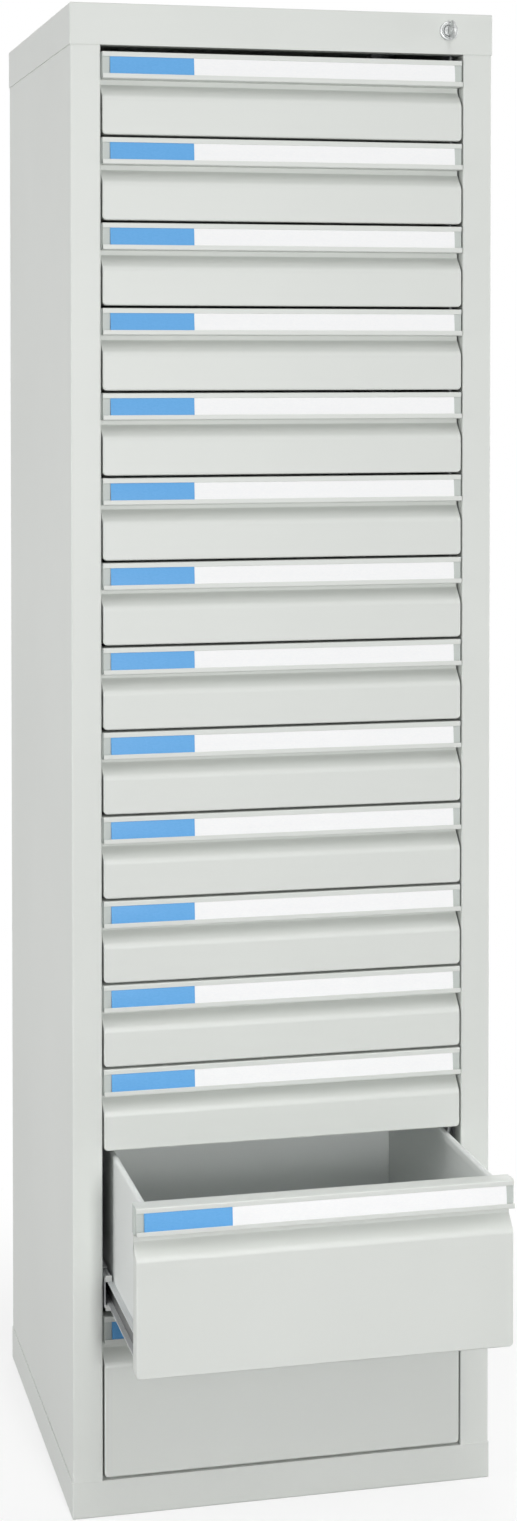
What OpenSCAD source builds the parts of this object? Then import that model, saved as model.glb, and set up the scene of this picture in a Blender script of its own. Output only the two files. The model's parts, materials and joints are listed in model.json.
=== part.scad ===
// Tall sheet-steel drawer cabinet on telescopic slides with a central locking bar.
// Millimetres, +Z up. The origin is the middle of the footprint on the floor, and the front faces -Y.

/* [Cabinet] */
// Outer width of the cap and the base pan
cabinet_w = 520; // [440:1:800]
// Outer depth of the cap and the base pan
cabinet_d = 520; // [460:1:800]
// Height of the base pan's walls
base_h = 44; // [30:1:120]
// Height of the cap's fascia and walls
cap_h = 49; // [45:1:120]
// Width of each front stile
stile_w = 37; // [32:1:60]
// Depth of each stile's inner return
stile_return = 24; // [18:1:30]
// Width of the flange that each side panel turns in at the back
back_flange = 20; // [12:1:30]
// Depth of the folded edge along the fascia and the pan's front
rail_fold = 18; // [10:1:22]
// Thickness of the carcass sheet
sheet = 1; // [0.8:0.1:1.5]
// Outside radius of the carcass folds
fold_r = 2; // [1.6:0.1:4]

/* [Posts] */
// Width of each upright post, front to back
post_w = 30; // [20:1:50]
// Thickness of the posts' sheet
post_sheet = 1.5; // [1:0.1:2]
// Clear space between the locking bar and the front posts
post_gap = 11; // [5:1:30]
// Distance from the back of the cabinet to the rear posts
post_back = 80; // [50:1:120]

/* [Drawers] */
// Number of shallow drawers
shallow_count = 13; // [1:1:13]
// Number of deep drawers, below the shallow ones
deep_count = 2; // [1:1:2]
// Height of a shallow drawer's front
shallow_h = 97.5; // [92:0.5:150]
// Height of a deep drawer's front
deep_h = 193.5; // [100:0.5:300]
// Gap between neighbouring fronts
front_gap = 3; // [2:0.5:6]
// Gap above the top drawer
top_gap = 7.5; // [4:0.5:15]
// Gap between a front and each stile
side_gap = 2; // [1:0.5:4]
// How far the upper deep drawer is pulled out
open_by = 205; // [0:1:400]
// Thickness of the drawers' sheet
drawer_sheet = 1; // [0.8:0.1:1.5]
// Radius of the lower corners of each front
corner_r = 5; // [2:0.5:10]
// Height of the drawer's floor above the front's lower edge
floor_rise = 4; // [2:0.5:8]
// Drop from the top of the front to the top of the side walls
wall_drop = 5; // [3:0.5:8]
// Width of the rolled edge on the side walls
hem_w = 7; // [5:0.5:9]
// Length of the rolled edge's inner lip
hem_lip = 6; // [3:0.5:10]
// Free space behind the drawers when they are shut
rear_space = 42; // [20:1:60]
// Clearance between pieces of a drawer that are fixed together
seat = 0.1; // [0.05:0.01:0.2]

/* [Handles] */
// Depth of the finger recess
recess_d = 18; // [14:0.5:20]
// Height of the handle's top lip
top_lip_h = 6; // [4:0.5:8]
// Height of the label window
window_h = 20; // [15:0.5:24]
// Height of the handle's lower lip
lower_lip_h = 6; // [4:0.5:8]
// How far the lower lip stands out in front of the drawer's face
lip_proud = 3.5; // [2:0.5:8]
// Height of the recess's upright wall below the handle of a shallow drawer
recess_h = 6; // [5:0.5:14]
// Height of the recess's upright wall below the handle of a deep drawer
deep_recess_h = 11; // [5:0.5:14]
// Height of the bevel between the recess and the face
bevel_h = 15; // [8:0.5:16]
// Depth of the label's back wall behind the face
label_set = 4; // [3:0.5:6]
// Thickness of the label strip
label_t = 0.8; // [0.4:0.1:1.5]
// Length of the blue card at the left of the label
card_w = 101; // [40:1:200]
// Width of the cap that closes each end of the label holder
end_cap_w = 9; // [5:0.5:20]
// Reach of the handle's top over the drawer's inner front wall
top_reach = 4; // [3:0.5:8]
// Height of the turned-down edge behind the handle's top
rear_lip_h = 9; // [5:0.5:15]

/* [Slides] */
// Height of a slide
slide_h = 45; // [42:0.5:50]
// Width of a slide, from the drawer's wall to the post
slide_w = 13; // [12.5:0.1:16]
// Height of the slide's centre line above the front's lower edge
slide_rise = 26; // [25:0.5:30]
// Thickness of the slide members
slide_sheet = 1.2; // [1:0.1:1.4]
// Height of a row of balls with its cage
ball_row_h = 2.9; // [2.5:0.1:3.2]
// Width of a row of balls with its cage
ball_row_w = 3.2; // [2.5:0.1:3.5]
// Depth of the drawer member's flanges
drawer_flange = 7; // [6.9:0.1:7.5]
// Space between the handle and the front ends of the slides
rail_set = 2; // [1:0.5:4]
// How far the slides stop short of the drawer's back
rail_short = 8; // [2:1:20]
// Running clearance between slide members
running = 0.3; // [0.2:0.05:0.4]
// Sideways clearance between slide members
web_gap = 1; // [0.8:0.1:1.2]
// How far the middle member stands back from the fixed one when shut
middle_set = 78; // [20:1:90]
// How much shorter the middle member is than the fixed one
middle_short = 90; // [80:1:120]

/* [Lock] */
// Distance of the lock's centre from the cabinet's right face
lock_in = 56; // [54:1:80]
// Distance of the lock's centre below the top
lock_drop = 21; // [21:0.5:24]
// Radius of the lock's round escutcheon
escutcheon_r = 11.5; // [11:0.5:13]
// Thickness of the escutcheon
escutcheon_t = 3; // [2:0.5:4]
// Radius of the lock's body
lock_r = 9; // [8:0.5:10]
// Length of the lock's body behind the fascia's face
lock_len = 28; // [26:1:29]
// Radius of the turning plug
plug_r = 6; // [5.5:0.1:6.5]
// Radial clearance of the plug, and of the body in the fascia
lock_fit = 0.1; // [0.05:0.01:0.2]
// Thickness of the lock nut
nut_t = 5; // [3:0.5:8]
// Radius over the corners of the lock nut
nut_r = 13; // [12:0.5:14]
// Thickness of the key
key_t = 2; // [1.5:0.1:2.5]
// Width of the key's blade
key_blade_w = 7; // [5:0.5:8]
// Length of the blade inside the plug
key_blade_len = 20; // [12:1:24]
// Radius of the key's bow
key_bow_r = 11; // [8:0.5:12]
// Length of the key's neck, from the escutcheon to the bow
key_neck = 2; // [1:0.5:4]
// Radius of the hole in the key's bow
key_hole_r = 3; // [2:0.5:4]
// Thickness of the cam
cam_t = 2.5; // [2:0.1:3]
// Radius of the crank pin
crank_pin_r = 2.5; // [2:0.1:3]
// Width of metal around the crank pin
crank_rim = 1; // [0.5:0.1:2]

/* [Locking bar] */
// Thickness of the locking bar
bar_t = 3; // [2:0.5:5]
// Width of the locking bar, front to back
bar_w = 15; // [12:1:25]
// Distance of the bar outside the opening
bar_out = 2; // [1.5:0.5:4]
// Clear space between the stile's return and the bar
bar_behind = 4; // [3:0.5:8]
// Height of each hook on the bar
hook_h = 10; // [8:0.5:11]
// Thickness of the hooks and of the drawers' catch tabs
hook_t = 3; // [2:0.5:4]
// How far each hook reaches into the opening
hook_reach = 8; // [6:0.5:9]
// Clear space between a hook and what passes it
hook_clear = 2; // [1.5:0.25:3]
// Thickness of the bar's head
head_t = 2; // [1.5:0.5:3]
// Height of the bar's head
head_h = 14; // [12:0.5:15]
// Clear space between the cam and the head, and past the head
head_gap = 2; // [1.5:0.5:3]
// Clearance of the crank pin in the head's slot
slot_clear = 0.6; // [0.5:0.05:0.8]
// Height of each bar guide
guide_h = 10; // [6:0.5:12]
// Wall of each bar guide
guide_wall = 1.2; // [1:0.1:1.4]

/* [Hidden] */
$fn = 64;
over = 1;

drawer_count = shallow_count + deep_count;
open_drawer = shallow_count + 1;

// Heights and places of the drawers, counted from the top
function drawer_h(i) = i <= shallow_count ? shallow_h : deep_h;
function drawer_z(i) = i == drawer_count ? base_h + front_gap : drawer_z(i + 1) + drawer_h(i + 1) + front_gap;
function pulled(i) = i == open_drawer ? open_by : 0;
cabinet_h = drawer_z(1) + drawer_h(1) + top_gap + cap_h;

// Planes of the carcass
front_y = -cabinet_d / 2;
back_y = cabinet_d / 2;
opening_half = cabinet_w / 2 - stile_w;
panel_half = cabinet_w / 2 - sheet;
panel_in = panel_half - sheet;
back_panel_y = back_y - 3 * sheet;

// Half width of the fronts and of the drawer boxes
front_half = opening_half - side_gap;
box_half = opening_half - slide_w;

// Drops below the top of a front, and depths behind its face
lip_drop = top_lip_h + window_h + lower_lip_h;
function recess_drop(i) = lip_drop + (i <= shallow_count ? recess_h : deep_recess_h);
bevel_slope = bevel_h / recess_d;
bevel_back = drawer_sheet * (sqrt(1 + bevel_slope * bevel_slope) - bevel_slope);
panel_depth = recess_d + drawer_sheet;
wall_depth = panel_depth + drawer_sheet;
handle_depth = wall_depth + top_reach;
label_half = front_half - end_cap_w;
box_back = back_panel_y - rear_space - front_y;

// Ends of the slide members, and heights and depths across a slide
rail_from = handle_depth + rail_set;
rail_to = box_back - rail_short;
rail_inside = slide_h / 2 - slide_sheet;
middle_half = rail_inside - running - ball_row_h;
drawer_half = middle_half - slide_sheet - ball_row_h - running;
middle_web = slide_w - slide_sheet - web_gap;
middle_edge = slide_sheet + web_gap;
ball_from = (middle_edge + drawer_flange) / 2 - ball_row_w / 2;

// The locking bar, its hooks and the catch tabs on the drawers
bar_x = opening_half + bar_out;
bar_y = front_y + sheet + stile_return + bar_behind;
bar_lift = hook_h + hook_clear;
hook_rise = slide_rise + slide_h / 2 + hook_clear;
tab_rise = hook_rise + bar_lift;
tab_y = bar_y + hook_t + hook_clear / 2;
guide_rise = tab_rise + hook_h + hook_clear;
guide_drawers = concat([for (i = [1:3:shallow_count]) i], [drawer_count]);

// The lock and its crank, which swings equally below and above level
lock_x = cabinet_w / 2 - lock_in;
lock_z = cabinet_h - lock_drop;
lock_end = front_y + lock_len;
crank_r = bar_lift / 2 / sin(45);
key_bow_y = front_y - escutcheon_t - key_neck - key_bow_r;
head_y = lock_end + cam_t + head_gap;

// The posts, one pair on each side
post_ys = [bar_y + bar_w + post_gap, back_y - post_back - post_w];

paint = [0.84, 0.85, 0.83];
paint_low = [0.80, 0.815, 0.80];
zinc = [0.72, 0.74, 0.76];
chrome = [0.80, 0.80, 0.78];
plain_grey = [0.70, 0.73, 0.72];
label_white = [0.97, 0.97, 0.97];
label_blue = [0.47, 0.70, 0.91];

function two_digits(i) = i < 10 ? str("0", i) : str(i);
function box_name(i) = str("drawer_", two_digits(i), "_box");
function front_name(i) = str("drawer_", two_digits(i), "_front");
function slides_name(i) = str("drawer_", two_digits(i), "_slides");

// A rectangle from one corner to the other, with round corners
module round_rect(low, high, r) {
    translate([low.x + r, low.y]) square([high.x - low.x - 2 * r, high.y - low.y]);
    translate([low.x, low.y + r]) square([high.x - low.x, high.y - low.y - 2 * r]);
    for (x = [low.x + r, high.x - r], y = [low.y + r, high.y - r]) translate([x, y]) circle(r);
}

// The outline of a sheet folded into a closed rectangle
module folded_ring(low, high, t, r) {
    difference() {
        round_rect(low, high, r);
        round_rect([low.x + t, low.y + t], [high.x - t, high.y - t], r - t);
    }
}

// A plain block from one corner to the other
module block(low, high) {
    translate(low) cube(high - low);
}

// Draws an outline of depth and height, and extrudes it across the width
module across(from_x, to_x) {
    translate([from_x, 0, 0]) rotate([90, 0, 90]) linear_extrude(to_x - from_x) children();
}

// Draws an outline of width and height, and extrudes it from front to back
module backwards(from_y, to_y) {
    translate([0, to_y, 0]) rotate([90, 0, 0]) linear_extrude(to_y - from_y) children();
}

// Draws its children on the right, or mirrored on the left
module on_side(side) {
    if (side == "left") mirror([1, 0, 0]) children();
    if (side == "right") children();
}

// Draws its children on both sides
module on_both_sides() {
    on_side("left") children();
    on_side("right") children();
}

// Moves the front's lower edge of one drawer into place
module at_drawer(i) {
    translate([0, front_y - pulled(i), drawer_z(i)]) children();
}

// A rounded block of the cabinet's width and depth, less an inset
module pan_block(inset, height, r) {
    half_w = cabinet_w / 2 - inset;
    half_d = cabinet_d / 2 - inset;
    tall = height + 2 * r + over;
    intersection() {
        translate([0, 0, inset]) linear_extrude(height - inset)
            round_rect([-half_w, -half_d], [half_w, half_d], r);
        backwards(-half_d - over, half_d + over) round_rect([-half_w, inset], [half_w, tall], r);
        across(-half_w - over, half_w + over) round_rect([-half_d, inset], [half_d, tall], r);
    }
}

// A folded pan, open at the top, whose front wall turns in along its upper edge
module pan(height) {
    difference() {
        pan_block(0, height, fold_r);
        pan_block(sheet, height + over, fold_r - sheet);
    }
    block([-opening_half + sheet, front_y + sheet / 2, height - sheet],
        [opening_half - sheet, front_y + sheet + rail_fold, height]);
}

module base_pan() {
    color(paint_low) pan(base_h);
}

module top_cap() {
    color(paint) difference() {
        translate([0, 0, cabinet_h]) mirror([0, 0, 1]) pan(cap_h);
        translate([lock_x, front_y - over, lock_z]) rotate([-90, 0, 0])
            cylinder(r = lock_r + lock_fit, h = sheet + 2 * over);
    }
}

// A side panel with its stile, the stile's return and the back flange in one folded sheet
module side_panel(side) {
    flange_x = panel_half - back_flange;
    return_end = front_y + sheet + stile_return;
    color(paint) on_side(side) translate([0, 0, fold_r]) linear_extrude(cabinet_h - 2 * fold_r) difference() {
        folded_ring([opening_half, front_y + sheet], [panel_half, back_y - sheet], sheet, fold_r);
        translate([opening_half - over, return_end])
            square([flange_x - opening_half + over, cabinet_d]);
    }
}

// A flat sheet inside the side panels' back flanges, clear of their folds
module back_panel() {
    half_w = panel_in - fold_r;
    color(paint) block([-half_w, back_panel_y, sheet], [half_w, back_panel_y + sheet, cabinet_h - sheet]);
}

// Channels that stand on the base pan, closed towards the drawers and open to the side panel
module rail_posts(side) {
    color(zinc) on_side(side) for (y = post_ys) {
        translate([0, 0, sheet]) linear_extrude(cabinet_h - 2 * sheet) difference() {
            folded_ring([opening_half, y], [panel_in + fold_r + over, y + post_w], post_sheet, fold_r);
            translate([panel_in, y - over]) square([fold_r + 2 * over, post_w + 2 * over]);
        }
    }
}

// The fixed slide members, one for each drawer, with their backs on the posts
module outer_rails(side) {
    color(zinc) on_side(side) for (i = [1:drawer_count]) {
        translate([box_half, front_y, drawer_z(i) + slide_rise]) backwards(rail_from, rail_to) {
            translate([slide_w - slide_sheet, -slide_h / 2]) square([slide_sheet, slide_h]);
            for (z = [rail_inside, -slide_h / 2]) {
                translate([middle_edge + web_gap, z])
                    square([slide_w - middle_edge - web_gap, slide_sheet]);
            }
        }
    }
}

// The middle slide members of one drawer, with their rows of balls inside and outside
module middle_outline() {
    translate([middle_web - slide_sheet, -middle_half]) square([slide_sheet, 2 * middle_half]);
    for (z = [middle_half - slide_sheet, -middle_half]) {
        translate([middle_edge, z]) square([middle_web - middle_edge, slide_sheet]);
    }
    row = ball_row_h + slide_sheet / 2;
    for (z = [middle_half - slide_sheet - ball_row_h, middle_half - slide_sheet / 2]) {
        translate([ball_from, z]) square([ball_row_w, row]);
        translate([ball_from, -z - row]) square([ball_row_w, row]);
    }
}

module drawer_slides(i) {
    reach = pulled(i) / 2;
    color(zinc) on_both_sides()
        translate([box_half, front_y - reach, drawer_z(i) + slide_rise])
        backwards(rail_from + middle_set, rail_to - middle_short + middle_set) middle_outline();
}

// The slide member that is fixed to a drawer's wall, open to the outside
module drawer_rail() {
    translate([box_half + seat, 0, slide_rise]) backwards(rail_from, rail_to) {
        translate([0, -drawer_half]) square([slide_sheet, 2 * drawer_half]);
        for (z = [drawer_half - slide_sheet, -drawer_half]) {
            translate([0, z]) square([drawer_flange, slide_sheet]);
        }
    }
}

// Floor and side walls of a drawer in one folded sheet, with rolled upper edges
module box_wrap(h) {
    hem_r = hem_w / 2;
    hem_z = h - wall_drop - hem_r;
    hem_x = box_half - hem_r;
    backwards(wall_depth + seat, box_back - drawer_sheet - seat) {
        difference() {
            folded_ring([-box_half, floor_rise], [box_half, h + fold_r + over], drawer_sheet, fold_r);
            translate([-box_half - over, hem_z]) square([2 * box_half + 2 * over, h]);
        }
        for (x = [-hem_x, hem_x]) difference() {
            translate([x, hem_z]) circle(hem_r);
            translate([x, hem_z]) circle(hem_r - drawer_sheet);
            translate([x - hem_w, hem_z - hem_w]) square([2 * hem_w, hem_w]);
        }
        for (x = [-box_half + hem_w - drawer_sheet, box_half - hem_w]) {
            translate([x, hem_z - hem_lip]) square([drawer_sheet, hem_lip]);
        }
    }
}

module drawer_box(i) {
    h = drawer_h(i);
    at_drawer(i) {
        color(paint) box_wrap(h);
        color(paint) block([-box_half, panel_depth, floor_rise], [box_half, wall_depth, h - drawer_sheet]);
        color(paint) block([-box_half, box_back - drawer_sheet, floor_rise], [box_half, box_back, h - wall_drop]);
        color(zinc) on_both_sides() drawer_rail();
        color(zinc) block([box_half + seat, tab_y - front_y, tab_rise],
            [front_half, tab_y - front_y + hook_t, tab_rise + hook_h]);
    }
}

// The face of a drawer: a shallow tray with round lower corners, then the bevel and the recess's wall
module front_panel(i) {
    h = drawer_h(i);
    crease_h = h - recess_drop(i);
    face_h = crease_h - bevel_h;
    wall_top = h - drawer_sheet - seat;
    difference() {
        backwards(0, panel_depth) difference() {
            round_rect([-front_half, 0], [front_half, h], corner_r);
            translate([-front_half - over, face_h]) square([2 * front_half + 2 * over, h]);
        }
        backwards(drawer_sheet, panel_depth + over)
            round_rect([-front_half + drawer_sheet, drawer_sheet],
                [front_half - drawer_sheet, h], corner_r - drawer_sheet);
    }
    across(-front_half, front_half) polygon([
        [0, face_h - corner_r], [0, face_h], [recess_d, crease_h], [recess_d, wall_top],
        [panel_depth, wall_top], [panel_depth, crease_h - bevel_back],
        [drawer_sheet, face_h - bevel_back], [drawer_sheet, face_h - corner_r]
    ]);
    for (x = [-front_half, front_half - drawer_sheet]) across(x, x + drawer_sheet) polygon([
        [0, face_h], [recess_d, crease_h], [panel_depth, crease_h], [panel_depth, face_h]
    ]);
}

// The label holder: top, upper lip, lower lip, the label's wall between the end caps,
// and the edge turned down behind, between the rolled edges of the box
module handle(h) {
    rear_half = box_half - hem_w - seat;
    across(-front_half, front_half) {
        translate([0, h - drawer_sheet]) square([handle_depth, drawer_sheet]);
        translate([0, h - top_lip_h]) square([drawer_sheet, top_lip_h]);
        translate([-lip_proud, h - lip_drop]) square([recess_d + lip_proud - seat, drawer_sheet]);
        translate([-lip_proud, h - lip_drop]) square([drawer_sheet, lower_lip_h]);
    }
    across(-label_half, label_half)
        translate([label_set, h - lip_drop]) square([drawer_sheet, lip_drop]);
    across(-rear_half, rear_half)
        translate([handle_depth - drawer_sheet, h - rear_lip_h]) square([drawer_sheet, rear_lip_h]);
}

// A piece that stands in the label holder, between two places across the width and two depths
module holder_piece(h, from_x, to_x, from_u, to_u) {
    block([from_x + seat / 2, from_u, h - lip_drop + drawer_sheet + seat],
        [to_x - seat / 2, to_u, h - drawer_sheet - seat]);
}

module drawer_front(i) {
    h = drawer_h(i);
    card_end = -label_half + card_w;
    label_back = label_set - seat;
    label_front = label_back - label_t;
    cap_front = drawer_sheet + seat;
    cap_back = recess_d - seat;
    at_drawer(i) {
        color(paint) front_panel(i);
        color(paint) handle(h);
        color(plain_grey) holder_piece(h, -front_half, -label_half, cap_front, cap_back);
        color(plain_grey) holder_piece(h, label_half, front_half, cap_front, cap_back);
        color(label_blue) holder_piece(h, -label_half, card_end, label_front, label_back);
        color(label_white) holder_piece(h, card_end, label_half, label_front, label_back);
    }
}

// Draws its children with Z along the lock's axis, from the fascia's face into the cabinet
module at_lock() {
    translate([lock_x, front_y, lock_z]) rotate([-90, 0, 0]) children();
}

module lock_body() {
    color(chrome) at_lock() difference() {
        union() {
            translate([0, 0, -escutcheon_t]) cylinder(r = escutcheon_r, h = escutcheon_t);
            cylinder(r = lock_r, h = lock_len);
        }
        translate([0, 0, -escutcheon_t - over])
            cylinder(r = plug_r + lock_fit, h = lock_len + escutcheon_t + 2 * over);
    }
    color(zinc) at_lock() translate([0, 0, sheet]) difference() {
        cylinder(r = nut_r, h = nut_t, $fn = 6);
        translate([0, 0, -over]) cylinder(r = lock_r + lock_fit, h = nut_t + 2 * over);
    }
}

// The key's blade, also used a little larger to cut the keyway
module key_blade(extra) {
    half_t = key_t / 2 + extra;
    half_w = key_blade_w / 2 + extra;
    block([lock_x - half_t, key_bow_y, lock_z - half_w],
        [lock_x + half_t, front_y - escutcheon_t + key_blade_len + extra, lock_z + half_w]);
}

module lock_plug() {
    color(chrome) difference() {
        at_lock() translate([0, 0, -escutcheon_t]) cylinder(r = plug_r, h = lock_len + escutcheon_t);
        key_blade(lock_fit);
    }
}

module key() {
    color(chrome) {
        key_blade(0);
        across(lock_x - key_t / 2, lock_x + key_t / 2) difference() {
            translate([key_bow_y, lock_z]) circle(key_bow_r);
            translate([key_bow_y - key_bow_r / 2, lock_z]) circle(key_hole_r);
        }
    }
}

// A flat arm on the end of the plug, with the crank pin low on its left at rest
module lock_cam() {
    color(zinc) at_lock() translate([0, 0, lock_len]) rotate([0, 0, 135]) {
        linear_extrude(cam_t) {
            circle(plug_r);
            translate([0, -crank_pin_r]) square([crank_r, 2 * crank_pin_r]);
            translate([crank_r, 0]) circle(crank_pin_r + crank_rim);
        }
        translate([crank_r, 0, 0]) cylinder(r = crank_pin_r, h = cam_t + head_t + 2 * head_gap);
    }
}

// The bar, one hook for each drawer, and a head whose slot the crank pin lifts
module locking_bar() {
    head_z = lock_z - crank_r * sin(45);
    slot_half = crank_pin_r + slot_clear;
    slot_from = lock_x - crank_r - slot_half;
    slot_to = lock_x - crank_r * sin(45) + slot_half;
    color(zinc) {
        block([bar_x, bar_y, sheet + running], [bar_x + bar_t, bar_y + bar_w, head_z + head_h / 2]);
        for (i = [1:drawer_count]) {
            z = drawer_z(i) + hook_rise;
            block([opening_half - hook_reach, bar_y, z], [bar_x, bar_y + hook_t, z + hook_h]);
        }
        difference() {
            block([slot_from - head_h / 4, head_y, head_z - head_h / 2],
                [bar_x, head_y + head_t, head_z + head_h / 2]);
            block([slot_from, head_y - over, head_z - slot_half],
                [slot_to, head_y + head_t + over, head_z + slot_half]);
        }
    }
}

// Forked blocks on the front right post that keep the bar upright
module bar_guides() {
    color(zinc) for (i = guide_drawers) {
        z = drawer_z(i) + guide_rise;
        difference() {
            block([bar_x - running - guide_wall, bar_y, z],
                [bar_x + bar_t + running + guide_wall, post_ys[0], z + guide_h]);
            block([bar_x - running, bar_y - over, z - over],
                [bar_x + bar_t + running, bar_y + bar_w + running, z + guide_h + over]);
        }
    }
}

side_panel("left");  // side_panel_left
side_panel("right");  // side_panel_right
back_panel();
top_cap();
base_pan();
rail_posts("left");  // rail_posts_left
rail_posts("right");  // rail_posts_right
outer_rails("left");  // outer_rails_left
outer_rails("right");  // outer_rails_right
lock_body();
lock_plug();
key();
lock_cam();
locking_bar();
bar_guides();
for (i = [1:drawer_count]) drawer_box(i);
for (i = [1:drawer_count]) drawer_front(i);
for (i = [1:drawer_count]) drawer_slides(i);
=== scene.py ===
"""Looks of a tall sheet-steel drawer cabinet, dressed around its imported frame.

Lengths are metres, and MM turns millimetres into metres. The pieces of a drawer front are modelled about
the middle of the front's upper edge, on the plane of its face: x runs across, y into the cabinet, z up.
"""

import json
import math

import bmesh
import bpy
from mathutils import Euler, Matrix, Vector

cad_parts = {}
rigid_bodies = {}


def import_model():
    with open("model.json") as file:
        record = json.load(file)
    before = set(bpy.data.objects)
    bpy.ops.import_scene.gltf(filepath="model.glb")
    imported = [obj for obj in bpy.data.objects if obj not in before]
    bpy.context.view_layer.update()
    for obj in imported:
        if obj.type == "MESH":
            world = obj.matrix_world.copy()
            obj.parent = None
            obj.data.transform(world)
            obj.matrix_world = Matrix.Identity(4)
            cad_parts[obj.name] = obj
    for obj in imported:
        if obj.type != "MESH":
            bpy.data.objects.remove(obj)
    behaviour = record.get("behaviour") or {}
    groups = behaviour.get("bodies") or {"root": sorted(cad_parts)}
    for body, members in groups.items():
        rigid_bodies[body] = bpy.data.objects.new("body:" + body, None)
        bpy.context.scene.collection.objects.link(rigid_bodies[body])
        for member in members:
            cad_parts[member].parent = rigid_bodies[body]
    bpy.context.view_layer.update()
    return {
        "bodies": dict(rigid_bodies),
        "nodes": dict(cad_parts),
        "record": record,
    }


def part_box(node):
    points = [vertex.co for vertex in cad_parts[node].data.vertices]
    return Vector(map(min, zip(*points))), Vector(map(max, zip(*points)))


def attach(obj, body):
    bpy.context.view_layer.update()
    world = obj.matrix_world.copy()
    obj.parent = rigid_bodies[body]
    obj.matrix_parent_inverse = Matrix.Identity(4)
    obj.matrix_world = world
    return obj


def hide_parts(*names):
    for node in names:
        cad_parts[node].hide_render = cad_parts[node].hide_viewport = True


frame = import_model()

MM = 0.001

# Camera: where it stands, how it is turned, and its lens on the photograph's frame
IMAGE_H = 1521
CAMERA_AT = (-0.7475, -3.2816, 1.3828)
CAMERA_YAW = math.radians(13.31)
CAMERA_PITCH = math.radians(-1.674)
FOCAL_PIXELS = 2597.6
CENTRE_ROW = 434.1
SENSOR = 36.0

# Drawer fronts: depths behind the face, drops below the upper edge, and sizes of the holder's pieces
FRONT_Y = -260.0 * MM
LIP_PROUD = 3.5 * MM
SHEET = 1.0 * MM
SEAT = 0.1 * MM
FOLD_R = 1.6 * MM
CORNER_R = 5.0 * MM
RECESS_D = 18.0 * MM
PANEL_D = RECESS_D + SHEET
HANDLE_D = 24.0 * MM
LIP_DROP = 32.0 * MM
RECESS_H = 6.0 * MM
DEEP_RECESS_H = 11.0 * MM
DEEP_FROM = 150.0 * MM
BEVEL_H = 15.0 * MM
BEVEL_R = 10.0 * MM
TOP_LIP_H = 6.0 * MM
LOWER_LIP_H = 6.0 * MM
REAR_LIP_H = 9.0 * MM
REAR_LIP_HALF = 202.9 * MM
LABEL_SET = 4.0 * MM
LABEL_HIGH_D = 1.9 * MM
LABEL_LOW_D = -1.4 * MM
LABEL_T = 0.5 * MM
LABEL_BOW = 0.5 * MM
CARD_W = 101.0 * MM
END_CAP_W = 9.0 * MM
END_PLATE_T = 1.2 * MM
END_PLATE_SET = 4.5 * MM

# Middle slide members: places across the width, and heights above and below the slide's centre line
MIDDLE_EDGE = 212.2 * MM
MIDDLE_BACK = 220.8 * MM
MIDDLE_HALF = 18.1 * MM
MIDDLE_SHEET = 1.2 * MM
BALL_X = 214.6 * MM
BALL_R = 1.45 * MM
BALL_STEP = 12.0 * MM
BUFFER_T = 3.0 * MM

# Lock: its axis, and radii about it
LOCK_AT = (204.0 * MM, FRONT_Y, 1779.0 * MM)
BORE_R = 6.1 * MM
BARREL_R = 9.0 * MM
RIM_R = 11.5 * MM
RIM_T = 3.0 * MM
BARREL_LEN = 28.0 * MM
NUT_R = 13.0 * MM
NUT_T = 5.0 * MM
NUT_SIDES = 6

# Colours as they look in even light, red, green and blue from 0 to 255
PAINT_LIGHT = (217, 220, 216)
PAINT_DARK = (213, 216, 212)
BOX_LIGHT = (229, 232, 230)
BOX_DARK = (225, 228, 226)
ZINC_LIGHT = (224, 226, 227)
ZINC_DARK = (207, 210, 212)
# Darker steel for the webs in the drawer rails' grooves: painted shade, standing in for the shadow under each
# rail's upper flange
GROOVE_SHADE_LIGHT = (112, 113, 112)
GROOVE_SHADE_DARK = (84, 85, 85)
NICKEL_LIGHT = (200, 202, 201)
NICKEL_DARK = (176, 178, 178)
PAPER_LIGHT = (247, 247, 247)
PAPER_DARK = (243, 244, 245)
BLUE_LIGHT = (101, 171, 228)
BLUE_DARK = (93, 164, 223)
PLASTIC_LIGHT = (197, 203, 199)
PLASTIC_DARK = (190, 196, 192)
BUFFER_LIGHT = (240, 241, 239)
BUFFER_DARK = (232, 234, 231)

# Steps along an arc, and the angles from which edges shade sharp, are folded and are softened
ARC_STEPS = 5
SMOOTH_ANGLE = math.radians(35)
FOLD_ANGLE = math.radians(25)
SOFT_ANGLE = math.radians(40)

# Noise drawn out along the depth, for streaks
DRAWN = (1, 0.06, 1)


def linear(colour):
    """A colour of 0 to 255 as the linear values that shaders take."""
    shares = [c / 255 for c in colour]
    return [s / 12.92 if s <= 0.04045 else ((s + 0.055) / 1.055) ** 2.4 for s in shares] + [1.0]


# Materials

def new_material(name):
    """An empty material with its node tree and its shader."""
    material = bpy.data.materials.new(name)
    material.use_nodes = True
    tree = material.node_tree
    return material, tree, tree.nodes["Principled BSDF"]


def stretched_place(tree, stretch):
    """The object's own coordinates, scaled along each axis."""
    place = tree.nodes.new("ShaderNodeTexCoord")
    mapping = tree.nodes.new("ShaderNodeMapping")
    mapping.inputs["Scale"].default_value = stretch
    tree.links.new(place.outputs["Object"], mapping.inputs["Vector"])
    return mapping.outputs["Vector"]


def noise(tree, scale, detail=2.0, stretch=(1, 1, 1)):
    """A noise from 0 to 1 with about that many waves to the metre."""
    node = tree.nodes.new("ShaderNodeTexNoise")
    node.inputs["Scale"].default_value = scale
    node.inputs["Detail"].default_value = detail
    tree.links.new(stretched_place(tree, stretch), node.inputs["Vector"])
    return node.outputs["Fac"]


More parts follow.
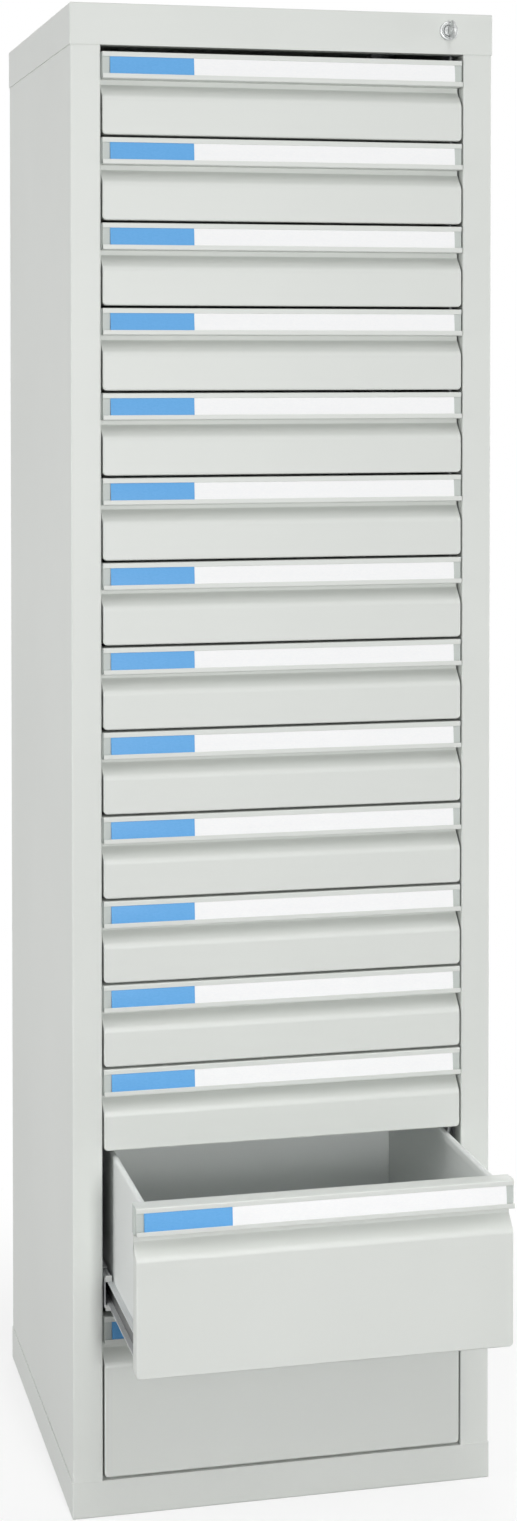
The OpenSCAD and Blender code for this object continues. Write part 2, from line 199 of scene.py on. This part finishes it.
def colour_between(tree, share, dark, light):
    """A colour between two, as a noise says."""
    ramp = tree.nodes.new("ShaderNodeValToRGB")
    ramp.color_ramp.elements[0].position = 0.3
    ramp.color_ramp.elements[0].color = linear(dark)
    ramp.color_ramp.elements[1].position = 0.7
    ramp.color_ramp.elements[1].color = linear(light)
    tree.links.new(share, ramp.inputs["Fac"])
    return ramp.outputs["Color"]


def number_between(tree, share, low, high):
    """A number between two, as a noise says."""
    node = tree.nodes.new("ShaderNodeMapRange")
    node.inputs["To Min"].default_value = low
    node.inputs["To Max"].default_value = high
    tree.links.new(share, node.inputs["Value"])
    return node.outputs["Result"]


def bump(tree, height, depth, strength):
    """A normal from a height of 0 to 1, as deep as that in metres."""
    node = tree.nodes.new("ShaderNodeBump")
    node.inputs["Distance"].default_value = depth
    node.inputs["Strength"].default_value = strength
    tree.links.new(height, node.inputs["Height"])
    return node.outputs["Normal"]


def powder_coat(name, dark, light):
    """Satin powder coat: an even colour with a fine orange-peel surface."""
    material, tree, shader = new_material(name)
    tone = noise(tree, scale=3, detail=3)
    tree.links.new(colour_between(tree, tone, dark, light), shader.inputs["Base Color"])
    grain = noise(tree, scale=900)
    tree.links.new(number_between(tree, grain, low=0.38, high=0.5), shader.inputs["Roughness"])
    peel = noise(tree, scale=420)
    tree.links.new(bump(tree, peel, depth=0.15 * MM, strength=0.12), shader.inputs["Normal"])
    return material


def plated(name, dark, light, metallic, roughness, stretch=(1, 1, 1)):
    """Bare plated metal with a fine grain, which the stretch can draw out into streaks."""
    material, tree, shader = new_material(name)
    streaks = noise(tree, scale=260, detail=3, stretch=stretch)
    tree.links.new(colour_between(tree, streaks, dark, light), shader.inputs["Base Color"])
    shader.inputs["Metallic"].default_value = metallic
    low, high = roughness
    tree.links.new(number_between(tree, streaks, low, high), shader.inputs["Roughness"])
    tree.links.new(bump(tree, streaks, depth=0.05 * MM, strength=0.15), shader.inputs["Normal"])
    return material


def card(name, dark, light):
    """Printed card under a clear glossy cover."""
    material, tree, shader = new_material(name)
    fibres = noise(tree, scale=700, detail=4, stretch=(0.4, 1, 1))
    tree.links.new(colour_between(tree, fibres, dark, light), shader.inputs["Base Color"])
    tree.links.new(number_between(tree, fibres, low=0.5, high=0.65), shader.inputs["Roughness"])
    shader.inputs["Specular IOR Level"].default_value = 0.3
    shader.inputs["Coat Weight"].default_value = 0.15
    shader.inputs["Coat Roughness"].default_value = 0.2
    return material


def matt_grained(name, dark, light):
    """Matt plastic with a fine moulded grain."""
    material, tree, shader = new_material(name)
    grain = noise(tree, scale=1200, detail=3)
    tree.links.new(colour_between(tree, grain, dark, light), shader.inputs["Base Color"])
    tree.links.new(number_between(tree, grain, low=0.48, high=0.62), shader.inputs["Roughness"])
    tree.links.new(bump(tree, grain, depth=0.08 * MM, strength=0.25), shader.inputs["Normal"])
    return material


PAINT = powder_coat("paint_light_grey", PAINT_DARK, PAINT_LIGHT)
BOX_PAINT = powder_coat("paint_pale_grey", BOX_DARK, BOX_LIGHT)
ZINC = plated("zinc_plate", ZINC_DARK, ZINC_LIGHT, metallic=0.25, roughness=(0.34, 0.48), stretch=DRAWN)
# Painted shade: a dark steel for the rails' grooves, where the upper flange shades the web
GROOVE_SHADE = plated("oiled_steel", GROOVE_SHADE_DARK, GROOVE_SHADE_LIGHT, metallic=0.4, roughness=(0.3, 0.45), stretch=DRAWN)
NICKEL = plated("nickel_plate", NICKEL_DARK, NICKEL_LIGHT, metallic=0.75, roughness=(0.28, 0.38))
PAPER = card("label_white", PAPER_DARK, PAPER_LIGHT)
BLUE = card("card_blue", BLUE_DARK, BLUE_LIGHT)
PLASTIC = matt_grained("plastic_grey", PLASTIC_DARK, PLASTIC_LIGHT)
BUFFER = matt_grained("plastic_white", BUFFER_DARK, BUFFER_LIGHT)


# Mesh building

def rounded(corners, steps=ARC_STEPS):
    """The points of an outline of (a, b, radius) corners, each corner turned by an arc of its radius."""
    points = []
    for i, (a, b, radius) in enumerate(corners):
        here = Vector((a, b))
        if radius == 0:
            points.append(here)
            continue
        before = (Vector(corners[i - 1][:2]) - here).normalized()
        after = (Vector(corners[(i + 1) % len(corners)][:2]) - here).normalized()
        half = before.angle(after) / 2
        centre = here + (before + after).normalized() * radius / math.sin(half)
        first = here + before * radius / math.tan(half) - centre
        last = here + after * radius / math.tan(half) - centre
        sweep = math.atan2(first.cross(last), first.dot(last))
        for k in range(steps + 1):
            points.append(centre + Matrix.Rotation(sweep * k / steps, 2) @ first)
    return points


def join_rings(bm, near, far):
    """Adds the faces between two rings of points."""
    for i in range(len(near)):
        bm.faces.new((near[i - 1], near[i], far[i], far[i - 1]))


def add_across(bm, outline, from_x, to_x):
    """Adds an outline of (depth, height) points, drawn out across the width into a solid."""
    near, far = [[bm.verts.new((x, u, v)) for u, v in outline] for x in (from_x, to_x)]
    join_rings(bm, near, far)
    bm.faces.new(near)
    bm.faces.new(far)


def add_along(bm, outline, from_y, to_y):
    """Adds an outline of (x, height) points, drawn out along the depth into a solid."""
    near, far = [[bm.verts.new((x, y, v)) for x, v in outline] for y in (from_y, to_y)]
    join_rings(bm, near, far)
    bm.faces.new(near)
    bm.faces.new(far)


def box_outline(a, b, c, d):
    """The corners of a rectangle from a to b across and from c to d up."""
    return [(a, c), (b, c), (b, d), (a, d)]


def add_turned(bm, profile, segments=48):
    """Adds a closed profile of (radius, depth, corners) turned about the depth axis.

    A point with corners turns along a polygon of that many corners, and one with 0 along a circle.
    """
    rings = []
    for radius, depth, corners in profile:
        ring = []
        for k in range(segments):
            angle = 2 * math.pi * k / segments
            share = 1.0
            if corners:
                half_side = math.pi / corners
                share = math.cos(half_side) / math.cos(angle % (2 * half_side) - half_side)
            reach = radius * share
            ring.append(bm.verts.new((reach * math.cos(angle), depth, reach * math.sin(angle))))
        rings.append(ring)
    for i in range(len(rings)):
        join_rings(bm, rings[i - 1], rings[i])


def as_mesh(name, bm, material):
    """The finished mesh, smooth over its arcs and sharp at its edges."""
    bmesh.ops.recalc_face_normals(bm, faces=bm.faces)
    mesh = bpy.data.meshes.new(name)
    bm.to_mesh(mesh)
    bm.free()
    mesh.materials.append(material)
    mesh.shade_smooth()
    mesh.set_sharp_from_angle(angle=SMOOTH_ANGLE)
    return mesh


def add_modifier(piece, kind, **values):
    """Adds a modifier with these settings."""
    modifier = piece.modifiers.new(kind.lower(), kind)
    for key, value in values.items():
        setattr(modifier, key, value)


def worked_in(mesh, *modifiers):
    """A mesh with modifiers, each a kind and its settings, worked into it."""
    carrier = bpy.data.objects.new(mesh.name, mesh)
    bpy.context.scene.collection.objects.link(carrier)
    for kind, values in modifiers:
        add_modifier(carrier, kind, **values)
    graph = bpy.context.evaluated_depsgraph_get()
    result = bpy.data.meshes.new_from_object(carrier.evaluated_get(graph), depsgraph=graph)
    result.name = mesh.name
    bpy.data.objects.remove(carrier)
    return result


def flats_kept_flat():
    """A modifier that keeps flat faces flat beside their rounded edges."""
    return "WEIGHTED_NORMAL", {"keep_sharp": True}


def soft_edges(width, segments=3):
    """A modifier that rounds sharp edges."""
    return "BEVEL", {"width": width, "segments": segments, "limit_method": "ANGLE", "angle_limit": SOFT_ANGLE}


# Drawer fronts

def front_panel_mesh(name, half_w, height):
    """The folded face: a tray with round lower corners, then the rounded bevel and the recess's wall."""
    crease = -LIP_DROP - (DEEP_RECESS_H if height > DEEP_FROM else RECESS_H)
    bend = rounded([(0, -height, 0), (0, crease - BEVEL_H, BEVEL_R), (RECESS_D, crease, 0)], steps=8)[1:]
    face_top = bend[0].y
    outline = rounded([(-half_w, face_top, 0), (-half_w, -height, CORNER_R),
                       (half_w, -height, CORNER_R), (half_w, face_top, 0)], steps=8)
    bm = bmesh.new()
    face = [bm.verts.new((x, 0, v)) for x, v in outline]
    rear = [bm.verts.new((x, PANEL_D, v)) for x, v in outline]
    bm.faces.new(face)
    for i in range(1, len(outline)):
        bm.faces.new((face[i - 1], face[i], rear[i], rear[i - 1]))
    rise = bend[1:] + [(RECESS_D, -SHEET - SEAT)]
    left, right = [[bm.verts.new((x, u, v)) for u, v in rise] for x in (-half_w, half_w)]
    left.insert(0, face[0])
    right.insert(0, face[-1])
    for k in range(1, len(left)):
        bm.faces.new((left[k - 1], right[k - 1], right[k], left[k]))
    bm.faces.new(left[:-1] + [rear[0]])
    bm.faces.new(right[:-1] + [rear[-1]])
    mesh = as_mesh(name, bm, PAINT)
    return worked_in(mesh,
                     ("BEVEL", {"width": FOLD_R, "segments": 4, "limit_method": "ANGLE",
                                "angle_limit": FOLD_ANGLE}),
                     ("SOLIDIFY", {"thickness": SHEET, "offset": -1.0}),
                     flats_kept_flat())


def handle_mesh(half_w):
    """The label holder's folded profile, with rounded folds and lip ends."""
    tip = 0.45 * MM
    fold = 1.5 * MM
    inner = 0.5 * MM
    hook = -2 * fold
    label_half = half_w - END_CAP_W
    bm = bmesh.new()
    add_across(bm, rounded([
        (0, 0, fold), (HANDLE_D, 0, fold), (HANDLE_D, hook, tip), (HANDLE_D - SHEET, hook, tip),
        (HANDLE_D - SHEET, -SHEET, inner), (SHEET, -SHEET, inner), (SHEET, -TOP_LIP_H, tip),
        (0, -TOP_LIP_H, tip)]), -half_w, half_w)
    add_across(bm, rounded([
        (-LIP_PROUD, -LIP_DROP, fold), (-LIP_PROUD, -LIP_DROP + LOWER_LIP_H, tip),
        (SHEET - LIP_PROUD, -LIP_DROP + LOWER_LIP_H, tip), (SHEET - LIP_PROUD, -LIP_DROP + SHEET, inner),
        (RECESS_D - SEAT, -LIP_DROP + SHEET, tip), (RECESS_D - SEAT, -LIP_DROP, tip)]), -half_w, half_w)
    add_across(bm, [(LABEL_SET, -SHEET), (LABEL_SET + SHEET, -SHEET), (LABEL_SET + SHEET, SHEET - LIP_DROP),
                    (LABEL_SET, SHEET - LIP_DROP)], -label_half, label_half)
    add_across(bm, rounded([
        (HANDLE_D - SHEET, hook, 0), (HANDLE_D, hook, 0), (HANDLE_D, -REAR_LIP_H, tip),
        (HANDLE_D - SHEET, -REAR_LIP_H, tip)]), -REAR_LIP_HALF, REAR_LIP_HALF)
    return worked_in(as_mesh("handle", bm, PAINT), flats_kept_flat())


def strip_mesh(name, from_x, to_x, material):
    """A card strip held behind the holder's two lips, leaning back and bowed a little towards the front."""
    low = -LIP_DROP + SHEET + SEAT
    high = -SHEET - SEAT
    steps = 8
    front = []
    for k in range(steps + 1):
        share = k / steps
        bow = LABEL_BOW * (1 - (2 * share - 1) ** 2)
        back = LABEL_LOW_D + (LABEL_HIGH_D - LABEL_LOW_D) * share
        front.append((back - LABEL_T - bow, low + (high - low) * share))
    bm = bmesh.new()
    add_across(bm, front + [(LABEL_HIGH_D, high), (LABEL_LOW_D, low)], from_x, to_x)
    return as_mesh(name, bm, material)


def end_caps_mesh(half_w):
    """The moulded caps in both ends of the label holder, and the plates that close it behind its lips."""
    low = -LIP_DROP + SHEET + SEAT
    high = -SHEET - SEAT
    front = SHEET + SEAT
    step = 0.8 * MM
    tuck = 1.5 * MM
    window_low = -LIP_DROP + LOWER_LIP_H - tuck
    window_high = -TOP_LIP_H + tuck
    back = RECESS_D - SEAT
    notch_d = 5.5 * MM
    notch_low = -16.0 * MM
    inset = 0.3 * MM
    plate_r = 1.2 * MM
    plate_x = half_w + SEAT / 2
    bm = bmesh.new()
    for side in (-1, 1):
        add_across(bm, [
            (front + step, low), (front + step, window_low), (front, window_low), (front, window_high),
            (front + step, window_high), (front + step, high), (notch_d, high), (notch_d, notch_low),
            (back, notch_low), (back, low)],
            side * (half_w - END_CAP_W + SEAT / 2), side * plate_x)
        add_across(bm, rounded([
            (END_PLATE_SET, -inset, plate_r), (back, -inset, plate_r), (back, inset - LIP_DROP, plate_r),
            (END_PLATE_SET, inset - LIP_DROP, plate_r)]), side * plate_x, side * (half_w + END_PLATE_T))
    return worked_in(as_mesh("end_caps", bm, PLASTIC), soft_edges(width=0.4 * MM), flats_kept_flat())


def add_piece(name, mesh, body, at, node):
    """Adds a piece that rides on a body and stands for a node."""
    piece = bpy.data.objects.new(name, mesh)
    bpy.context.scene.collection.objects.link(piece)
    piece.location = at
    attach(piece, body)
    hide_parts(node)
    return piece


def dress_drawer_fronts():
    """Replaces each drawer's front with its modelled pieces."""
    drawers = sorted(name for name in frame["bodies"] if name.startswith("drawer_"))
    low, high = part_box(drawers[0] + "_front")
    half_w = high.x
    label_half = half_w - END_CAP_W
    card_end = -label_half + CARD_W
    panels = {}
    shared = {
        "handle": handle_mesh(half_w),
        "end_caps": end_caps_mesh(half_w),
        "card": strip_mesh("blue_card", -label_half + SEAT / 2, card_end - SEAT / 2, BLUE),
        "label": strip_mesh("white_label", card_end + SEAT / 2, label_half - SEAT / 2, PAPER),
    }
    for drawer in drawers:
        node = drawer + "_front"
        low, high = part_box(node)
        height = round(high.z - low.z, 4)
        if height not in panels:
            panels[height] = front_panel_mesh("front_panel_%d" % round(height / MM), half_w, height)
        at = (0, low.y + LIP_PROUD, high.z)
        add_piece(drawer + "_panel", panels[height], drawer, at, node)
        for part, mesh in shared.items():
            add_piece(drawer + "_" + part, mesh, drawer, at, node)


# Slides and lock

def middle_members_mesh(length):
    """The two middle members of a drawer's slides, from their front ends: channels with caged balls."""
    inner = MIDDLE_HALF - MIDDLE_SHEET
    tip = 0.4 * MM
    fold = 1.6 * MM
    cage_half = 0.5 * MM
    ball_rows = [MIDDLE_HALF + BALL_R, inner - BALL_R]
    bm = bmesh.new()
    for side in (-1, 1):
        edge = side * MIDDLE_EDGE
        back = side * MIDDLE_BACK
        inside = back - side * MIDDLE_SHEET
        add_along(bm, rounded([
            (edge, MIDDLE_HALF, tip), (back, MIDDLE_HALF, fold), (back, -MIDDLE_HALF, fold),
            (edge, -MIDDLE_HALF, tip), (edge, -inner, tip), (inside, -inner, tip),
            (inside, inner, tip), (edge, inner, tip)]), 0, length)
        for row in ball_rows + [-row for row in ball_rows]:
            add_along(bm, box_outline(side * (BALL_X - BALL_R), side * (BALL_X + BALL_R),
                                      row - cage_half, row + cage_half), 0, length)
            for k in range(int(length / BALL_STEP)):
                at = Matrix.Translation((side * BALL_X, (k + 0.5) * BALL_STEP, row))
                bmesh.ops.create_icosphere(bm, subdivisions=2, radius=BALL_R, matrix=at)
    return as_mesh("middle_members", bm, ZINC)


def buffers_mesh():
    """The moulded buffers on the front ends of the middle members, above and below the drawer's rail."""
    low = MIDDLE_HALF - MIDDLE_SHEET - 2 * BALL_R
    high = MIDDLE_HALF + 2 * BALL_R
    inside = MIDDLE_BACK - MIDDLE_SHEET
    bm = bmesh.new()
    for side in (-1, 1):
        for up in (-1, 1):
            outline = box_outline(side * MIDDLE_EDGE, side * inside, up * low, up * high)
            add_along(bm, outline, -BUFFER_T, 0)
    return worked_in(as_mesh("buffers", bm, BUFFER), soft_edges(width=0.5 * MM), flats_kept_flat())


def dress_slides():
    """Replaces the middle members of each drawer's slides with modelled ones."""
    nodes = sorted(name for name in frame["nodes"] if name.endswith("_slides"))
    low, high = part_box(nodes[0])
    members = middle_members_mesh(high.y - low.y)
    buffers = buffers_mesh()
    for node in nodes:
        low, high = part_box(node)
        at = (0, low.y, (low.z + high.z) / 2)
        body = node.replace("drawer_", "slides_").replace("_slides", "")
        add_piece(node + "_members", members, body, at, node)
        add_piece(node + "_buffers", buffers, body, at, node)


def dress_lock():
    """Replaces the lock's body with a turned barrel with a grooved rim, and its nut."""
    face = -RIM_T
    edge_low = face + 1.0 * MM
    edge_mid = face + 0.4 * MM
    groove_floor = face + 0.8 * MM
    groove_outer = RIM_R - 1.7 * MM
    groove_inner = RIM_R - 2.8 * MM
    groove_slope = 0.2 * MM
    dish_outer = RIM_R - 3.8 * MM
    dish_low = face + 1.5 * MM
    bm = bmesh.new()
    add_turned(bm, [
        (RIM_R, 0, 0), (RIM_R, edge_low, 0), (RIM_R - 0.3 * MM, edge_mid, 0), (RIM_R - 0.9 * MM, face, 0),
        (groove_outer, face, 0), (groove_outer - groove_slope, groove_floor, 0),
        (groove_inner + groove_slope, groove_floor, 0), (groove_inner, face, 0), (dish_outer, face, 0),
        (BORE_R, dish_low, 0), (BORE_R, BARREL_LEN, 0), (BARREL_R, BARREL_LEN, 0), (BARREL_R, 0, 0)])
    nut_from = SHEET
    nut_bore = BARREL_R + SEAT
    add_turned(bm, [
        (NUT_R, nut_from, NUT_SIDES), (nut_bore, nut_from, 0), (nut_bore, nut_from + NUT_T, 0),
        (NUT_R, nut_from + NUT_T, NUT_SIDES)])
    mesh = as_mesh("lock_barrel", bm, NICKEL)
    add_piece("lock_barrel", mesh, "carcass", LOCK_AT, "lock_body")


# CAD nodes that stay

def finish_nodes():
    """Gives the nodes that stay their materials."""
    by_slot = {"paint": PAINT, "zinc": ZINC, "chrome": NICKEL}
    for part in frame["record"]["subparts"]:
        node = frame["nodes"][part["node"]]
        node.data.materials.clear()
        node.data.materials.append(by_slot[part["material_slot"]])


def finish_boxes():
    """Gives the drawer boxes their paint, their slide members and tabs zinc, and the grooves' webs a darker
    steel as painted shade.
    """
    wall_x = 210.05 * MM
    groove_x = 211.3 * MM
    near = 0.02 * MM
    sideways = 0.9
    for name, node in frame["nodes"].items():
        if not name.endswith("_box"):
            continue
        node.data.materials.clear()
        for material in (BOX_PAINT, ZINC, GROOVE_SHADE):
            node.data.materials.append(material)
        for polygon in node.data.polygons:
            out = abs(polygon.center.x)
            # The outward web in each rail's groove gets the dark steel: painted shade under the upper flange
            if abs(out - groove_x) < near and abs(polygon.normal.x) > sideways:
                polygon.material_index = 2
            elif out > wall_x:
                polygon.material_index = 1


def round_lock():
    """Rounds the edges of the lock's shown pieces."""
    for name in ("lock_plug", "key"):
        node = frame["nodes"][name]
        add_modifier(node, "WELD", merge_threshold=0.001 * MM)
        add_modifier(node, "DECIMATE", decimate_type="DISSOLVE", angle_limit=math.radians(1))
        for kind, values in (soft_edges(width=0.4 * MM), flats_kept_flat()):
            add_modifier(node, kind, **values)


# Stage, light and camera

def shown_white(tree):
    """1 for rays from the camera, from gloss and through glass, and 0 for light that falls on the object."""
    path = tree.nodes.new("ShaderNodeLightPath")
    total = path.outputs["Is Camera Ray"]
    for name in ("Is Glossy Ray", "Is Transmission Ray"):
        node = tree.nodes.new("ShaderNodeMath")
        node.operation = "MAXIMUM"
        tree.links.new(total, node.inputs[0])
        tree.links.new(path.outputs[name], node.inputs[1])
        total = node.outputs["Value"]
    return total


def add_world(level, above):
    """Soft light all round, stronger from above than from level, which shows as plain white behind."""
    world = bpy.data.worlds.new("studio")
    bpy.context.scene.world = world
    world.use_nodes = True
    tree = world.node_tree
    light = tree.nodes["Background"]
    light.inputs["Color"].default_value = (1, 1, 1, 1)
    place = tree.nodes.new("ShaderNodeTexCoord")
    split = tree.nodes.new("ShaderNodeSeparateXYZ")
    tree.links.new(place.outputs["Generated"], split.inputs["Vector"])
    strength = tree.nodes.new("ShaderNodeMapRange")
    tree.links.new(shown_white(tree), strength.inputs["Value"])
    tree.links.new(number_between(tree, split.outputs["Z"], level, above), strength.inputs["To Min"])
    strength.inputs["To Max"].default_value = 1.0
    tree.links.new(strength.outputs["Result"], light.inputs["Strength"])


def distance_share(tree, near, far):
    """0 up to the near distance from the upright axis, and 1 from the far one on."""
    place = tree.nodes.new("ShaderNodeNewGeometry")
    length = tree.nodes.new("ShaderNodeVectorMath")
    length.operation = "LENGTH"
    tree.links.new(place.outputs["Position"], length.inputs[0])
    share = tree.nodes.new("ShaderNodeMapRange")
    share.interpolation_type = "SMOOTHSTEP"
    share.inputs["From Min"].default_value = near
    share.inputs["From Max"].default_value = far
    tree.links.new(length.outputs["Value"], share.inputs["Value"])
    return share.outputs["Result"]


def add_floor():
    """A pale floor that shows white, and near the object keeps part of its shadow."""
    bm = bmesh.new()
    bmesh.ops.create_circle(bm, cap_ends=True, segments=96, radius=12)
    mesh = bpy.data.meshes.new("floor")
    bm.to_mesh(mesh)
    bm.free()
    floor = bpy.data.objects.new("floor", mesh)
    bpy.context.scene.collection.objects.link(floor)
    material = bpy.data.materials.new("pale_floor")
    material.use_nodes = True
    tree = material.node_tree
    tree.nodes.remove(tree.nodes["Principled BSDF"])
    shown = shown_white(tree)
    matt = tree.nodes.new("ShaderNodeBsdfDiffuse")
    tree.links.new(number_between(tree, shown, low=0.25, high=0.9), matt.inputs["Color"])
    glow = tree.nodes.new("ShaderNodeEmission")
    mix = tree.nodes.new("ShaderNodeMixShader")
    share = tree.nodes.new("ShaderNodeMath")
    share.operation = "MULTIPLY"
    tree.links.new(shown, share.inputs[0])
    white = number_between(tree, distance_share(tree, near=0.4, far=1.0), low=0.7, high=1.0)
    tree.links.new(white, share.inputs[1])
    tree.links.new(share.outputs["Value"], mix.inputs["Fac"])
    tree.links.new(matt.outputs["BSDF"], mix.inputs[1])
    tree.links.new(glow.outputs["Emission"], mix.inputs[2])
    tree.links.new(mix.outputs["Shader"], tree.nodes["Material Output"].inputs["Surface"])
    mesh.materials.append(material)


def add_light(name, at, target, width, height, watts, spread=180):
    """A soft light of that width and height, whose beam is as wide as that in degrees."""
    lamp = bpy.data.lights.new(name, "AREA")
    lamp.shape = "RECTANGLE"
    lamp.size = width
    lamp.size_y = height
    lamp.energy = watts
    lamp.spread = math.radians(spread)
    holder = bpy.data.objects.new(name, lamp)
    bpy.context.scene.collection.objects.link(holder)
    holder.location = at
    holder.rotation_mode = "QUATERNION"
    holder.rotation_quaternion = (Vector(target) - Vector(at)).to_track_quat("-Z", "Y")
    holder.visible_camera = False


def add_camera():
    """The camera at the photograph's viewing angle."""
    data = bpy.data.cameras.new("camera")
    data.sensor_width = SENSOR
    data.lens = FOCAL_PIXELS * SENSOR / IMAGE_H
    data.shift_y = (CENTRE_ROW - IMAGE_H / 2) / IMAGE_H
    camera = bpy.data.objects.new("camera", data)
    bpy.context.scene.collection.objects.link(camera)
    camera.location = CAMERA_AT
    camera.rotation_euler = Euler((math.pi / 2 + CAMERA_PITCH, 0, -CAMERA_YAW))
    bpy.context.scene.camera = camera


def light_scene():
    """A tall key lamp in front, one high above it and a low one, with fill from the sides and behind."""
    add_world(level=0.05, above=0.6)
    middle = (0, 0, 1.0)
    add_light("key", at=(0.0, -5.0, 1.3), target=(0, FRONT_Y, 0.8), width=0.4, height=1.0, watts=97)
    add_light("top", at=(0.05, -3.9, 5.0), target=(0, FRONT_Y, 1.0), width=0.8, height=3.6, watts=66)
    add_light("low", at=(-0.05, -4.5, 1.75), target=(0, FRONT_Y, -0.05), width=0.4, height=0.8, watts=0.4,
              spread=25)
    add_light("fill_left", at=(-3.2, -0.4, 1.2), target=middle, width=2.0, height=2.0, watts=50)
    add_light("fill_right", at=(3.2, -0.5, 1.3), target=middle, width=2.0, height=2.0, watts=45)
    add_light("behind", at=(0.6, 3.6, 1.6), target=middle, width=2.0, height=2.0, watts=40)


add_camera()
dress_drawer_fronts()
dress_slides()
dress_lock()
finish_nodes()
finish_boxes()
round_lock()
add_floor()
light_scene()
bpy.context.scene.view_settings.view_transform = "Standard"
